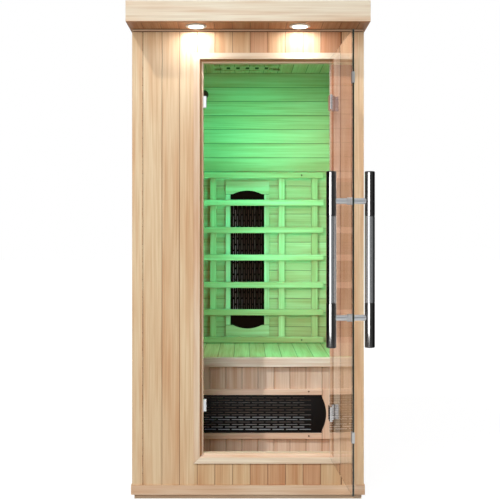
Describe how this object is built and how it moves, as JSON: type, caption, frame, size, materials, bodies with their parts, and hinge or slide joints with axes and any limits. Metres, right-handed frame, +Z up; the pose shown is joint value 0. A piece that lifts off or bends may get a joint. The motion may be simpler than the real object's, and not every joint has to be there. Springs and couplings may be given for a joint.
{
  "type": "infrared sauna cabin",
  "caption": "Boarded wooden infrared sauna cabin with a hinged glass door, bench, slatted backrest, slotted heater panels and a lit crown.",
  "frame": {"origin": "on the ground under the middle of the cabin's four walls", "axes": "+Z up, +X to the right of somebody facing the door, +Y from the front to the back"},
  "size_m": [0.916, 1.4533, 1.903],
  "materials": {
    "hemlock": "smooth unvarnished boards",
    "hemlock_warm": "smooth unvarnished trim",
    "hemlock_pale": "smooth unvarnished trim",
    "clear_glass": "clear toughened, polished edges",
    "chrome": "polished",
    "black_sheet": "satin black enamel",
    "reflector": "bright rolled",
    "white_plastic": "moulded",
    "black_plastic": "moulded",
    "galvanised": "zinc coated sheet",
    "lamp_lens": "opal lens"
  },
  "bodies": {
    "cabin": {"back_heater_frame": "hemlock", "back_heater_grille": "black_sheet", "back_heater_tray": "reflector", "back_wall": "hemlock", "backrest_post_1": "hemlock", "backrest_post_2": "hemlock", "backrest_post_3": "hemlock", "backrest_post_4": "hemlock", "backrest_slat_1": "hemlock", "backrest_slat_2": "hemlock", "backrest_slat_3": "hemlock", "backrest_slat_4": "hemlock", "backrest_slat_5": "hemlock", "backrest_slat_6": "hemlock", "backrest_slat_7": "hemlock", "bench_front_panel": "hemlock_warm", "bench_nosing": "hemlock_pale", "bench_seat": "hemlock", "cable_gland": "black_plastic", "ceiling_panel": "hemlock", "colour_light": "lamp_lens", "control_box": "galvanised", "control_panel": "black_plastic", "crown_front": "hemlock_pale", "crown_left": "hemlock_pale", "crown_moulding": "hemlock_pale", "crown_right": "hemlock_pale", "crown_soffit": "hemlock_pale", "door_frame_head": "hemlock_warm", "door_frame_left": "hemlock_warm", "door_frame_right": "hemlock_warm", "door_frame_sill": "hemlock_warm", "downlight_left": "lamp_lens", "downlight_right": "lamp_lens", "floor_panel": "hemlock", "front_panel_header": "hemlock", "front_panel_left": "hemlock", "front_panel_right": "hemlock", "front_panel_sill": "hemlock", "hinge_lower_frame_leaf": "chrome", "hinge_lower_pin": "chrome", "hinge_upper_frame_leaf": "chrome", "hinge_upper_pin": "chrome", "left_wall": "hemlock", "leg_heater_frame": "hemlock", "leg_heater_grille": "black_sheet", "leg_heater_tray": "reflector", "magnet_lower": "white_plastic", "magnet_upper": "white_plastic", "right_wall": "hemlock", "roof_cover": "hemlock_warm", "temperature_sensor": "black_plastic"},
    "door": {"door_glass": "clear_glass", "handle_outer": "chrome", "handle_inner": "chrome", "hinge_upper_glass_clamp": "chrome", "hinge_lower_glass_clamp": "chrome", "strike_upper": "chrome", "strike_lower": "chrome"},
    "vent": {"vent_slider": "hemlock_pale"}
  },
  "joints": [
    {"name": "door_hinge", "type": "hinge", "parent": "cabin", "child": "door", "pos_m": [0.335, -0.464, 0], "axis": [0, 0, 1], "range_deg": [-93, 27]},
    {"name": "vent_slide", "type": "slide", "parent": "cabin", "child": "vent", "axis": [1, 0, 0], "range_m": [0, 0.022]}
  ]
}
